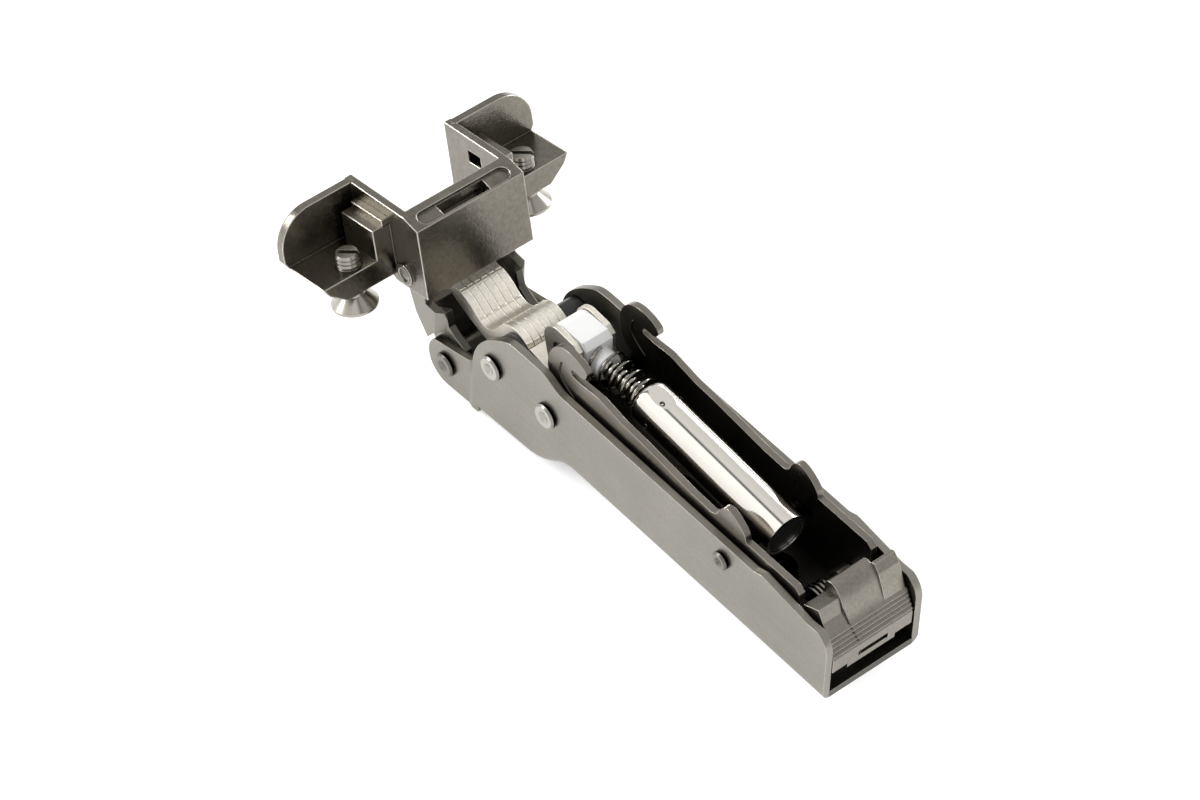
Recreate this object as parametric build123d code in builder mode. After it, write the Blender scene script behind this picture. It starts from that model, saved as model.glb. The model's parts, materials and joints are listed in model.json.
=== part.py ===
from build123d import *

import os
from math import cos, radians, sin

# Soft close hinge for a framed door, open about three quarters of its travel.
# Sizes are millimetres. The arm lies along X with its open side up, Y runs across it.
# A side-view place is given as its distance from the arm's rear end and its height
# over the underside of the arm's floor.

# Arm
arm_width = 18.0
arm_sheet = 1.2
arm_bend = 1.5
wall_top = 13.6
floor_end = 76.0
crank_start = 54.0
crank_end = 65.0
crank_drop = 4.5
nose_radius = 4.2
nose_joggle = 0.3

# Pivots, as distance from the rear end and height over the floor
nose_pivot = (83.8, -1.6)
lever_pivot = (72.9, 7.1)
rocker_pivot = (60.5, 7.4)
damper_pivot = (22.1, 10.3)
pusher_pivot = (64.8, 14.3)
clip_pivot = (11.2, 5.6)

# Rivets
nose_shank = 1.25
nose_head = 2.0
lever_shank = 1.5
lever_head = 2.1
rear_shank = 1.0
rear_head = 1.5
head_height = 0.8
head_edge = 0.3
dimple_radius = 1.1
dimple_depth = 0.6
run_gap = 0.05
face_gap = 0.15

# Inner channel
carrier_play = 0.55
carrier_sheet = 1.1
carrier_bend = 1.2
carrier_lift = 0.1
carrier_rear = 8.0
carrier_front = 55.5
carrier_travel = 1.5
cam_place = 20.3
cam_radius = 3.2
cam_axle_radius = 1.5
cam_height = 1.1
floor_window = (38.0, 12.0, 5.0)

# Levers
plate_count = 6
plate_pitch = 1.35
plate_gap = 0.1
lever_sheet = 1.2
lever_width_top = 17.2
lever_width_nose = 14.6
lever_jog = (86.8, 85.5)
stack_hole_play = 0.75
pivot_pin_radius = 1.1
spacer_radius = 3.15
nose_spacer_radius = 2.2
nose_spacer_half = 5.9

# Door bracket, measured square to its own tilted frame at the nose pivot
bracket_tilt = 12.5
block_width = 20.0
block_wall = 1.25
block_rear_face = -0.2
block_bottom = 12.4
block_front_top = 24.7
block_ridge = 25.8
ridge_x = -3.2
block_depth = 4.2
back_face = -17.3
back_sheet = 1.6
wing_width = 47.2
wing_top = 26.3
wing_floor_low = 14.1
wing_floor_high = 17.9
wing_front = -7.1
wing_corner = 5.8
rib_width = 3.2
rib_top = 23.2
rib_rear = -7.1
rib_front = -14.5
edge_round = 0.35
recess_length = 16.8
recess_width = 2.5
recess_depth = 0.5
slot_length = 8.6
window_place = (-10.6, 22.6)
window_size = (3.0, 2.2)
pin_boss_radius = 1.75
lever_pin_place = (-4.8, 15.0)
stack_pin_place = (-8.6, 16.7)

# Screws of the frame
screw_spacing = 33.0
screw_place = -9.7
screw_radius = 1.85
screw_top = 20.2
screw_low = 10.6
screw_head_radius = 3.6
screw_slot = 0.8
thread_pitch = 0.7
thread_depth = 0.22

# Damper
tube_radius = 3.55
tube_wall = 0.45
tube_front = (49.4, 14.4)
tube_rear = (18.8, 12.0)
tube_shoulder = 1.2
tube_mouth = 2.15
plug_length = 6.0
rod_radius = 0.8
rod_reach = 45.0
rod_lift = -0.5
rod_slope = 0.02
pusher_width = 4.8
pusher_face = 59.7
neck_radius = 2.2
neck_end = 57.6
yoke_sheet = 0.9
yoke_gap = 0.2
dent_place = 3.2
dent_radius = 2.6
dent_depth = 0.3

# Springs
inner_wire = 0.28
inner_coil = 1.3
inner_pitch = 0.95
outer_wire = 0.22
outer_coil = 2.75
outer_pitch = 2.3

# Rear catch
clip_overlap = 0.2
clip_grip_top = (1.8, 11.0)
clip_grip_low = (0.3, 7.6)
ridge_count = 5
ridge_height = 0.3
clip_pin_radius = 1.1
clip_coil = 2.0
clip_wire = 0.3

# Places that follow from the sizes above
arm_half = arm_width / 2
arm_inner = arm_half - arm_sheet
nose_inner = arm_inner - nose_joggle
carrier_half = arm_inner - carrier_play
carrier_inner = carrier_half - carrier_sheet
carrier_base = arm_sheet + carrier_lift
stack_half = plate_count * plate_pitch / 2
yoke_inner = pusher_width / 2 + yoke_gap
yoke_half = yoke_inner + yoke_sheet
block_half = block_width / 2
tilt = radians(bracket_tilt)
overall_length = nose_pivot[0] - back_face * cos(tilt) + wing_top * sin(tilt)
rear_x = overall_length / 2
floor_z = nose_radius - nose_pivot[1]


def at(back, up):
    """Side-view point at a distance from the rear end and a height over the floor."""
    return (rear_x - back, floor_z + up)


def tilted(along, up):
    """Side-view point that is given in the bracket's own tilted frame."""
    nose_x, nose_z = at(*nose_pivot)
    return (
        nose_x + along * cos(tilt) - up * sin(tilt),
        nose_z + along * sin(tilt) + up * cos(tilt),
    )


def side(y):
    """Side-view plane at width y. An extrusion from it runs towards -Y."""
    return Plane.XZ.offset(-y)


def bar(centre, radius, low, high, mode=Mode.ADD):
    """Round bar or hole across the hinge between two widths."""
    with BuildSketch(side(high)) as section:
        with Locations(centre):
            Circle(radius)
    extrude(section.sketch, amount=high - low, mode=mode)


def turned(centre, points, mode=Mode.ADD):
    """Piece turned about a cross axis, its half section given as width and radius."""
    x, z = centre
    plane = Plane(origin=(x, 0, z), x_dir=(0, 1, 0), z_dir=(0, 0, 1))
    with BuildSketch(plane) as section:
        with BuildLine():
            Polyline(*points, close=True)
        make_face()
    revolve(section.sketch, axis=Axis((x, 0, z), (0, 1, 0)), mode=mode)


def rivet(centre, shank, head, seat):
    """Rivet with a dimpled head on the outer face of each wall."""
    tip = seat + head_height
    half = [
        (seat, shank),
        (seat, head),
        (tip - head_edge, head),
        (tip, head - head_edge),
        (tip, min(dimple_radius, head * 0.5)),
        (tip - dimple_depth, 0),
    ]
    mirrored = [(-y, radius) for y, radius in reversed(half)]
    turned(centre, mirrored + half)


def write(builder, name):
    """Label a finished piece and write its file."""
    builder.part.label = name
    export_step(builder.part, f"parts/{name}.step")


def arm_underside(raised, end):
    """Underside of the arm from the rear end to a place on the nose."""
    slope = (nose_pivot[1] - nose_radius + crank_drop) / (nose_pivot[0] - crank_end)
    Line(at(0, raised), at(crank_start, raised))
    Spline(
        at(crank_start, raised),
        at((crank_start + crank_end) / 2, raised - crank_drop * 0.54),
        at(crank_end, raised - crank_drop),
        tangents=[(-1, 0), (-1, slope)],
    )
    low = raised - crank_drop + slope * (end - crank_end)
    Line(at(crank_end, raised - crank_drop), at(end, low))
    return at(end, low)


# Outer arm
def arm_top():
    """Upper edge of the arm's wall from the nose to the rear end."""
    Polyline(at(82.6, 2.4), at(78.6, 3.5), at(77.5, 4.7))
    Spline(
        at(77.5, 4.7),
        at(76.6, 8.2),
        at(74.4, 11.4),
        at(70.6, 14.4),
        at(66.0, 15.2),
        tangents=[(0.1, 1), (1, 0)],
    )
    Line(at(66.0, 15.2), at(62.5, 15.2))
    Spline(at(62.5, 15.2), at(57.0, wall_top), tangents=[(1, 0), (1, 0)])
    Polyline(at(57.0, wall_top), at(15.7, wall_top), at(13.9, 14.2), at(4.3, 12.8), at(2.2, 12.9))
    ThreePointArc(at(2.2, 12.9), at(0.6, 11.47), at(0, 9.4))


with BuildSketch(Plane.XZ) as arm_outline:
    with BuildLine():
        arm_underside(0, nose_pivot[0])
        CenterArc(at(*nose_pivot), nose_radius, 135, 135)
        nose_reach = nose_radius * sin(radians(45))
        Line(at(nose_pivot[0] + nose_reach, nose_pivot[1] + nose_reach), at(82.6, 2.4))
        arm_top()
        Line(at(0, 9.4), at(0, 0))
    make_face()

with BuildPart() as nose_cheeks:
    with BuildSketch(Plane.XY):
        with BuildLine():
            Polyline(
                (rear_x - floor_end, arm_half),
                (rear_x - floor_end - 1.4, arm_half),
                (rear_x - floor_end - 2.4, arm_half - nose_joggle),
                (rear_x - 92, arm_half - nose_joggle),
                (rear_x - 92, nose_inner),
                (rear_x - floor_end - 2.4, nose_inner),
                (rear_x - floor_end - 1.4, arm_inner),
                (rear_x - floor_end, arm_inner),
                close=True,
            )
        make_face()
        mirror(about=Plane.XZ)
    extrude(amount=floor_z + 20)
    extrude(arm_outline.sketch, amount=arm_half, both=True, mode=Mode.INTERSECT)

with BuildPart() as outer_arm:
    extrude(arm_outline.sketch, amount=arm_half, both=True)
    with Locations((rear_x - floor_end - 10, 0, floor_z)):
        Box(20, arm_width + 2, 40, mode=Mode.SUBTRACT)
    bends = outer_arm.edges().filter_by(
        lambda e: abs(abs(e.center().Y) - arm_half) < 0.01 and e.center().Z < floor_z + 0.01
    )
    fillet(bends, arm_bend)
    with BuildSketch(Plane.XZ) as arm_inside:
        with BuildLine():
            last = arm_underside(arm_sheet, floor_end)
            Polyline(last, at(floor_end, 20), at(-1, 20), at(-1, arm_sheet), at(0, arm_sheet))
        make_face()
    extrude(arm_inside.sketch, amount=arm_inner, both=True, mode=Mode.SUBTRACT)
    add(nose_cheeks.part)
    bar(at(*nose_pivot), nose_shank + run_gap, -arm_half, arm_half, Mode.SUBTRACT)
    bar(at(*lever_pivot), lever_shank + run_gap, -arm_half, arm_half, Mode.SUBTRACT)
    bar(at(*rocker_pivot), lever_shank + run_gap, -arm_half, arm_half, Mode.SUBTRACT)
    bar(at(*damper_pivot), rear_shank + run_gap, -arm_half, arm_half, Mode.SUBTRACT)
write(outer_arm, "outer_arm")

# Rivets and spacers
with BuildPart() as nose_rivet:
    rivet(at(*nose_pivot), nose_shank, nose_head, arm_half - nose_joggle)
write(nose_rivet, "nose_rivet")

with BuildPart() as lever_rivet:
    rivet(at(*lever_pivot), lever_shank, lever_head, arm_half)
write(lever_rivet, "lever_rivet")

with BuildPart() as rocker_rivet:
    rivet(at(*rocker_pivot), lever_shank, lever_head, arm_half)
write(rocker_rivet, "rocker_rivet")

with BuildPart() as damper_rivet:
    rivet(at(*damper_pivot), rear_shank, rear_head, arm_half)
write(damper_rivet, "damper_rivet")

for name, hand in (("left_spacer", -1), ("right_spacer", 1)):
    with BuildPart() as spacer:
        near = stack_half + face_gap
        far = arm_inner - face_gap
        bore = lever_shank + run_gap
        turned(
            at(*lever_pivot),
            [
                (hand * near, bore),
                (hand * near, spacer_radius),
                (hand * far, spacer_radius),
                (hand * far, bore),
            ],
        )
    write(spacer, name)

with BuildPart() as nose_spacer:
    bore = nose_shank + run_gap
    turned(
        at(*nose_pivot),
        [
            (-nose_spacer_half, bore),
            (-nose_spacer_half, nose_spacer_radius),
            (nose_spacer_half, nose_spacer_radius),
            (nose_spacer_half, bore),
        ],
    )
write(nose_spacer, "nose_spacer")

# Inner channel with its hooks and lugs
with BuildPart() as carrier_channel:
    with BuildSketch(Plane.XZ) as carrier_outline:
        with BuildLine():
            Polyline(
                at(carrier_front, carrier_base),
                at(carrier_rear, carrier_base),
                at(carrier_rear, 14.2),
                at(9.0, 15.0),
                at(19.3, 15.0),
                at(19.6, 15.9),
            )
            Spline(
                at(19.6, 15.9),
                at(21.3, 17.6),
                at(23.6, 18.4),
                at(25.1, 16.9),
                at(27.2, 15.0),
                tangents=[(-0.5, 1), (-1, -0.1)],
            )
            Polyline(at(27.2, 15.0), at(31.0, 15.1), at(42.0, 16.2), at(46.0, 16.4), at(50.8, 17.3))
            Spline(at(50.8, 17.3), at(54.0, 17.2), at(56.9, 17.2), tangents=[(-1, 0.2), (-1, 0.2)])
            ThreePointArc(at(56.9, 17.2), at(57.6, 17.8), at(57.0, 18.4))
            Line(at(57.0, 18.4), at(55.8, 18.4))
            ThreePointArc(at(55.8, 18.4), at(54.4, 19.1), at(54.6, 20.4))
            Spline(
                at(54.6, 20.4),
                at(57.2, 21.3),
                at(60.2, 20.8),
                at(62.6, 17.2),
                at(61.6, 12.6),
                at(58.2, 9.6),
                at(57.1, 6.0),
                at(carrier_front, carrier_base),
                tangents=[(-0.8, 0.5), (0.5, -1)],
            )
        make_face()
    extrude(amount=carrier_half, both=True)
    fillet(
        carrier_channel.edges().filter_by(
            lambda e: abs(abs(e.center().Y) - carrier_half) < 0.01
            and abs(e.center().Z - floor_z - carrier_base) < 0.01
        ),
        carrier_bend,
    )
    with BuildSketch(Plane.XZ) as carrier_inside:
        with BuildLine():
            Polyline(
                at(70, carrier_base + carrier_sheet),
                at(0, carrier_base + carrier_sheet),
                at(0, 30),
                at(70, 30),
                close=True,
            )
        make_face()
    extrude(carrier_inside.sketch, amount=carrier_inner, both=True, mode=Mode.SUBTRACT)
    slot_reach = 2 * carrier_travel + 2 * rear_shank + 2 * face_gap
    with BuildSketch(Plane.XZ) as rivet_slot:
        with Locations(at(*damper_pivot)):
            SlotOverall(slot_reach, 2 * rear_shank + 2 * face_gap)
    extrude(rivet_slot.sketch, amount=arm_half, both=True, mode=Mode.SUBTRACT)
    bar(at(*clip_pivot), clip_pin_radius + run_gap, -arm_half, arm_half, Mode.SUBTRACT)
    with BuildSketch(Plane.XY.offset(floor_z)) as cam_slot:
        with Locations((rear_x - cam_place, 0)):
            SlotOverall(2 * (carrier_travel + cam_axle_radius + 0.3), 2 * (cam_axle_radius + 0.3))
        with Locations((rear_x - floor_window[0], 0)):
            SlotOverall(floor_window[1], floor_window[2])
    extrude(cam_slot.sketch, amount=4, mode=Mode.SUBTRACT)
write(carrier_channel, "carrier_channel")

# Depth cam, its axle runs in the arm's floor
with BuildPart() as depth_cam:
    cam_base = floor_z + carrier_base + carrier_sheet + 0.1
    with BuildSketch(Plane.XY.offset(floor_z + arm_sheet + 0.02)) as cam_axle:
        with Locations((rear_x - cam_place, 0)):
            Circle(cam_axle_radius)
    extrude(cam_axle.sketch, amount=cam_base - floor_z - arm_sheet)
    with BuildSketch(Plane.XY.offset(cam_base)) as cam_disc:
        with Locations((rear_x - cam_place, 0)):
            Circle(cam_radius)
    extrude(cam_disc.sketch, amount=cam_height)
    with BuildSketch(Plane.XY.offset(cam_base + cam_height / 2)) as cam_cross:
        with Locations((rear_x - cam_place, 0)):
            Rectangle(cam_radius * 1.1, cam_radius / 4)
            Rectangle(cam_radius / 4, cam_radius * 1.1)
    extrude(cam_cross.sketch, amount=cam_height, mode=Mode.SUBTRACT)
write(depth_cam, "depth_cam")

# Outer lever, a folded U with jogged cheeks
lever_top = lever_width_top / 2
lever_nose = lever_width_nose / 2
lever_pin_at = tilted(*lever_pin_place)
stack_pin_at = tilted(*stack_pin_place)
with BuildPart() as outer_lever:
    with BuildSketch(Plane.XY):
        with BuildLine():
            Polyline(
                (rear_x - 99, lever_top),
                (rear_x - lever_jog[0], lever_top),
                (rear_x - lever_jog[1], lever_nose),
                (rear_x - 78, lever_nose),
                (rear_x - 78, lever_nose - lever_sheet),
                (rear_x - lever_jog[1] - lever_sheet / 2, lever_nose - lever_sheet),
                (rear_x - lever_jog[0] - lever_sheet / 2, lever_top - lever_sheet),
                (rear_x - 99, lever_top - lever_sheet),
                close=True,
            )
        make_face()
        mirror(about=Plane.XZ)
    extrude(amount=floor_z + 20)
    with BuildSketch(Plane.XZ) as lever_outline:
        with BuildLine():
            pin_x, pin_z = lever_pin_at
            ThreePointArc((pin_x + 2.1, pin_z), (pin_x, pin_z + 2.1), (pin_x - 2.1, pin_z))
            Polyline((pin_x - 2.1, pin_z), at(92.6, 6.8), at(91.1, 3.5), at(88.7, 0.7), at(87.0, -1.6))
            ThreePointArc(at(87.0, -1.6), at(83.8, -4.8), at(80.6, -1.6))
            Polyline(
                at(80.6, -1.6),
                at(80.7, 0.5),
                at(81.2, 2.2),
                at(83.7, 3.2),
                at(85.1, 4.1),
                at(85.8, 6.7),
                at(89.0, 6.9),
                (pin_x + 2.1, pin_z),
            )
        make_face()
    extrude(lever_outline.sketch, amount=arm_half, both=True, mode=Mode.INTERSECT)
    for low, high in ((nose_inner - face_gap / 2, arm_half), (-arm_half, face_gap / 2 - nose_inner)):
        bar(at(*nose_pivot), 5.0, low, high, Mode.SUBTRACT)
    with BuildSketch(Plane.XZ) as lever_web:
        with BuildLine():
            Polyline(
                at(91.6, 4.6),
                at(91.1, 3.5),
                at(88.7, 0.7),
                at(87.4, -1.1),
                at(86.4, -0.5),
                at(87.7, 1.6),
                at(90.3, 4.2),
                close=True,
            )
        make_face()
    extrude(lever_web.sketch, amount=nose_inner - face_gap / 2, both=True)
    bar(at(*nose_pivot), nose_shank + run_gap, -arm_half, arm_half, Mode.SUBTRACT)
    bar(lever_pin_at, pivot_pin_radius + run_gap, -arm_half, arm_half, Mode.SUBTRACT)
write(outer_lever, "outer_lever")

# Stack of lever plates
with BuildSketch(Plane.XZ) as plate_outline:
    with BuildLine():
        pin_x, pin_z = stack_pin_at
        ThreePointArc((pin_x + 1.6, pin_z + 2.5), (pin_x - 2.2, pin_z + 2.0), (pin_x - 2.2, pin_z - 2.0))
        Polyline(
            (pin_x - 2.2, pin_z - 2.0),
            at(94.2, 9.8),
            at(90.6, 7.9),
            at(87.0, 5.9),
            at(83.5, 4.4),
            at(80.0, 3.3),
            at(75.0, 3.4),
        )
        ThreePointArc(at(75.0, 3.4), at(72.0, 3.3), at(69.8, 4.8))
        Polyline(at(69.8, 4.8), at(67.5, 6.7), at(67.6, 7.7), at(70.6, 8.2), at(70.9, 9.3))
        Spline(
            at(70.9, 9.3),
            at(72.6, 10.5),
            at(75.0, 10.7),
            at(77.0, 9.3),
            at(78.6, 7.0),
            at(80.2, 5.9),
            at(82.2, 6.3),
            at(84.2, 7.6),
            at(86.5, 8.5),
            at(88.6, 8.6),
            tangents=[(-0.7, 1), (-1, 0.2)],
        )
        Polyline(at(88.6, 8.6), at(90.4, 10.6), (pin_x + 1.6, pin_z + 2.5))
    make_face()
    with Locations(stack_pin_at):
        Circle(pivot_pin_radius + stack_hole_play, mode=Mode.SUBTRACT)
    with Locations(at(*lever_pivot)):
        Circle(lever_shank + run_gap, mode=Mode.SUBTRACT)

for index in range(plate_count):
    high = (index + 1) * plate_pitch - stack_half - plate_gap / 2
    with BuildPart() as lever_plate:
        with BuildSketch(side(high)) as plate_face:
            add(plate_outline.sketch_local)
        extrude(plate_face.sketch, amount=plate_pitch - plate_gap)
    write(lever_plate, f"lever_plate_{index + 1}")

# Door bracket
nose_x, nose_z = at(*nose_pivot)
bracket_side = Plane(origin=(nose_x, 0, nose_z), x_dir=(cos(tilt), 0, sin(tilt)), z_dir=(0, -1, 0))


def bracket_plan(up):
    """Plane square to the bracket's height at a given height in its frame."""
    x, z = tilted(0, up)
    return Plane(origin=(x, 0, z), x_dir=(cos(tilt), 0, sin(tilt)), z_dir=(-sin(tilt), 0, cos(tilt)))


def bracket_cross(along):
    """Plane across the hinge at a place along the bracket, with width and height."""
    x, z = tilted(along, 0)
    return Plane(origin=(x, 0, z), x_dir=(0, 1, 0), z_dir=(cos(tilt), 0, sin(tilt)))


# one wing with its undercut floor, its back and its rib
wing_half = wing_width / 2
with BuildPart() as wing:
    with BuildSketch(bracket_cross(back_face)) as wing_outline:
        with BuildLine():
            Polyline(
                (wing_half - wing_corner, wing_top),
                (block_half - 0.5, wing_top),
                (block_half - 0.5, wing_floor_low),
                (wing_half - 4.3, wing_floor_low),
                (wing_half - 1.4, wing_floor_low + 2.3),
                (wing_half, wing_floor_high + 0.9),
                (wing_half, wing_top - wing_corner),
            )
            RadiusArc((wing_half, wing_top - wing_corner), (wing_half - wing_corner, wing_top), -wing_corner)
        make_face()
    extrude(wing_outline.sketch, amount=wing_front - back_face)
    with BuildSketch(bracket_side) as wing_space:
        with BuildLine():
            Polyline(
                (back_face + back_sheet, wing_floor_high),
                (0, wing_floor_high),
                (0, wing_top + 1),
                (back_face + back_sheet, wing_top + 1),
                close=True,
            )
        make_face()
    extrude(wing_space.sketch, amount=wing_width, both=True, mode=Mode.SUBTRACT)
    rim = wing.edges().filter_by(lambda e: abs(bracket_cross(back_face).to_local_coords(e.center()).Z) < 0.01)
    rim = rim.filter_by(lambda e: e.center().Y > block_half)
    fillet(rim, edge_round)
    with BuildSketch(bracket_cross(rib_front)) as wing_rib:
        with Locations((block_half + rib_width / 2 - 0.2, (wing_floor_low + rib_top) / 2)):
            Rectangle(rib_width + 0.4, rib_top - wing_floor_low)
    extrude(wing_rib.sketch, amount=rib_rear - rib_front)

with BuildPart() as door_bracket:
    # block and side walls from one side profile
    with BuildSketch(bracket_side) as block_profile:
        with BuildLine():
            Polyline(
                (block_rear_face, block_bottom),
                (block_rear_face, block_front_top),
                (ridge_x, block_ridge),
                (back_face, wing_top),
                (back_face, wing_floor_low),
                (-14.0, wing_floor_low),
            )
            Spline(
                (-14.0, wing_floor_low),
                (-11.0, 14.6),
                (-8.0, 12.7),
                (-6.0, block_bottom),
                tangents=[(1, 0), (1, 0)],
            )
            Line((-6.0, block_bottom), (block_rear_face, block_bottom))
        make_face()
    extrude(block_profile.sketch, amount=block_half, both=True)
    # hollow of the block, open below, and the open bay behind it
    with BuildSketch(bracket_side) as hollow:
        with BuildLine():
            Polyline(
                (block_rear_face - block_wall, 10),
                (block_rear_face - block_wall, 22.8),
                (block_rear_face - block_depth + block_wall, 24.2),
                (block_rear_face - block_depth + block_wall, 18.6),
                (block_rear_face - block_depth, 18.6),
                (block_rear_face - block_depth, 30),
                (-30, 30),
                (-30, 10),
                close=True,
            )
        make_face()
    extrude(hollow.sketch, amount=block_half - block_wall, both=True, mode=Mode.SUBTRACT)
    # wings
    add(wing.part)
    mirror(wing.part, about=Plane.XZ)
    # recess with its slot in the slope of the block's top
    slope_x, slope_z = tilted((block_rear_face + ridge_x) / 2, (block_front_top + block_ridge) / 2)
    ridge_at = tilted(ridge_x, block_ridge)
    lip_at = tilted(block_rear_face, block_front_top)
    block_slope = Plane(
        origin=(slope_x, 0, slope_z),
        x_dir=(0, 1, 0),
        z_dir=(ridge_at[1] - lip_at[1], 0, lip_at[0] - ridge_at[0]),
    )
    with BuildSketch(block_slope) as recess:
        SlotOverall(recess_length, recess_width)
    extrude(recess.sketch, amount=-recess_depth, mode=Mode.SUBTRACT)
    with BuildSketch(block_slope) as recess_slot:
        Rectangle(slot_length, recess_width - 0.4)
    extrude(recess_slot.sketch, amount=-3, mode=Mode.SUBTRACT)
    # windows in the side walls
    with BuildSketch(bracket_side) as window:
        with Locations(window_place):
            Rectangle(*window_size)
    extrude(window.sketch, amount=block_half + 0.6, both=True, mode=Mode.SUBTRACT)
    # rings round the lever's pins
    for low, high in ((block_half - 0.5, block_half + 0.5), (-block_half - 0.5, 0.5 - block_half)):
        bar(lever_pin_at, pin_boss_radius, low, high)
    # screw holes and pin holes
    with BuildSketch(bracket_plan(wing_floor_low - 1)) as screw_holes:
        with GridLocations(0, screw_spacing, 1, 2):
            with Locations((screw_place, 0)):
                Circle(screw_radius + run_gap)
    extrude(screw_holes.sketch, amount=6, mode=Mode.SUBTRACT)
    bar(lever_pin_at, pivot_pin_radius + run_gap, -block_half - 1, block_half + 1, Mode.SUBTRACT)
    bar(stack_pin_at, pivot_pin_radius + run_gap, -block_half, block_half, Mode.SUBTRACT)
write(door_bracket, "door_bracket")

# Pins of the bracket
with BuildPart() as lever_pins:
    pin_start = lever_top - lever_sheet - 0.2
    pin_end = block_half + 0.3
    bar(lever_pin_at, pivot_pin_radius, pin_start, pin_end)
    bar(lever_pin_at, pivot_pin_radius, -pin_end, -pin_start)
write(lever_pins, "lever_pins")

with BuildPart() as stack_pin:
    bar(stack_pin_at, pivot_pin_radius, -block_half + 0.1, block_half - 0.1)
write(stack_pin, "stack_pin")

# Frame screws, countersunk heads below and slotted ends above
thread = []
for turn in range(3):
    thread_z = wing_floor_high + 0.1 + turn * thread_pitch
    thread.append((screw_radius - thread_depth, thread_z))
    thread.append((screw_radius, thread_z + thread_pitch / 2))

with BuildPart() as frame_screws:
    for hand in (-1, 1):
        plane = bracket_plan(0)
        axis_origin = plane.from_local_coords((screw_place, hand * screw_spacing / 2, 0))
        section_plane = Plane(origin=axis_origin, x_dir=(cos(tilt), 0, sin(tilt)), z_dir=(0, -1, 0))
        with BuildSketch(section_plane) as screw_section:
            with BuildLine():
                Polyline(
                    (0, screw_low),
                    (screw_head_radius - 0.2, screw_low),
                    (screw_head_radius, screw_low + 0.2),
                    (screw_head_radius, screw_low + 0.6),
                    (screw_radius, screw_low + 2.4),
                    (screw_radius, wing_floor_high),
                    *thread,
                    (screw_radius - thread_depth, screw_top),
                    (0, screw_top),
                    close=True,
                )
            make_face()
        revolve(screw_section.sketch, axis=Axis(axis_origin, (-sin(tilt), 0, cos(tilt))))
        with BuildSketch(bracket_plan(screw_top - 0.8)) as slot:
            with Locations((screw_place, hand * screw_spacing / 2)):
                Rectangle(2 * screw_radius + 1, screw_slot, rotation=40)
        extrude(slot.sketch, amount=2, mode=Mode.SUBTRACT)
write(frame_screws, "frame_screws")

# Rocker yoke with its pin
with BuildPart() as rocker_yoke:
    with BuildSketch(Plane.XZ) as yoke_outline:
        with BuildLine():
            ThreePointArc(at(68.0, 14.4), at(67.4, 16.7), at(65.3, 17.8))
            Polyline(
                at(65.3, 17.8),
                at(61.6, 17.5),
                at(60.4, 16.6),
                at(60.3, 14.0),
                at(59.6, 11.6),
                at(57.9, 8.6),
            )
            ThreePointArc(at(57.9, 8.6), at(58.6, 5.5), at(61.6, 4.9))
            Polyline(at(61.6, 4.9), at(66.3, 7.9), at(68.0, 14.4))
        make_face()
    extrude(amount=yoke_half, both=True)
    with BuildSketch(Plane.XZ) as yoke_inside:
        with BuildLine():
            Polyline(at(50, 0), at(72, 0), at(72, 30), at(50, 30), close=True)
        make_face()
    extrude(yoke_inside.sketch, amount=yoke_inner, both=True, mode=Mode.SUBTRACT)
    with BuildSketch(Plane.XZ) as yoke_web:
        with BuildLine():
            Polyline(at(66.3, 7.9), at(70.5, 8.7), at(70.4, 9.7), at(66.1, 8.9), at(64.6, 8.0), close=True)
        make_face()
    extrude(yoke_web.sketch, amount=stack_half + face_gap / 2, both=True)
    bar(at(*rocker_pivot), lever_shank + run_gap, -arm_half, arm_half, Mode.SUBTRACT)
    bar(at(*pusher_pivot), pivot_pin_radius + run_gap, -arm_half, arm_half, Mode.SUBTRACT)
write(rocker_yoke, "rocker_yoke")

with BuildPart() as pusher_pin:
    bar(at(*pusher_pivot), pivot_pin_radius, -yoke_half - 0.1, yoke_half + 0.1)
write(pusher_pin, "pusher_pin")

# White pusher, a barrel across the yoke with a neck towards the damper
pusher_x, pusher_z = at(*pusher_pivot)
rod_axis = Axis((pusher_x, 0, pusher_z + rod_lift), (1, 0, rod_slope))


def along_rod(points, mode=Mode.ADD):
    """Piece turned about the rod's axis, its half section as distance and radius."""
    plane = Plane(origin=rod_axis.position, x_dir=rod_axis.direction, z_dir=(0, -1, 0))
    with BuildSketch(plane) as section:
        with BuildLine():
            Polyline(*points, close=True)
        make_face()
    revolve(section.sketch, axis=rod_axis, mode=mode)


neck_reach = pusher_pivot[0] - neck_end
with BuildPart() as pusher_head:
    with BuildSketch(Plane.XZ) as pusher_block:
        with BuildLine():
            ThreePointArc(at(65.4, 17.6), at(67.9, 14.4), at(64.6, 11.1))
            Polyline(
                at(64.6, 11.1),
                at(61.0, 11.2),
                at(pusher_face, 12.2),
                at(pusher_face, 16.9),
                at(60.8, 17.8),
                at(65.4, 17.6),
            )
        make_face()
    extrude(pusher_block.sketch, amount=pusher_width / 2, both=True)
    along_rod([(0, 0), (0, neck_radius), (neck_reach, neck_radius), (neck_reach, 0)])
    along_rod(
        [
            (neck_reach - 1.6, 0),
            (neck_reach - 1.6, rod_radius + run_gap),
            (neck_reach, rod_radius + run_gap),
            (neck_reach, 0),
        ],
        Mode.SUBTRACT,
    )
    bar(at(*pusher_pivot), pivot_pin_radius + run_gap, -arm_half, arm_half, Mode.SUBTRACT)
write(pusher_head, "pusher_head")

with BuildPart() as piston_rod:
    rod_start = neck_reach - 1.5
    rod_tip = pusher_pivot[0] - rod_reach
    along_rod([(rod_start, 0), (rod_start, rod_radius), (rod_tip, rod_radius), (rod_tip, 0)])
write(piston_rod, "piston_rod")


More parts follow.
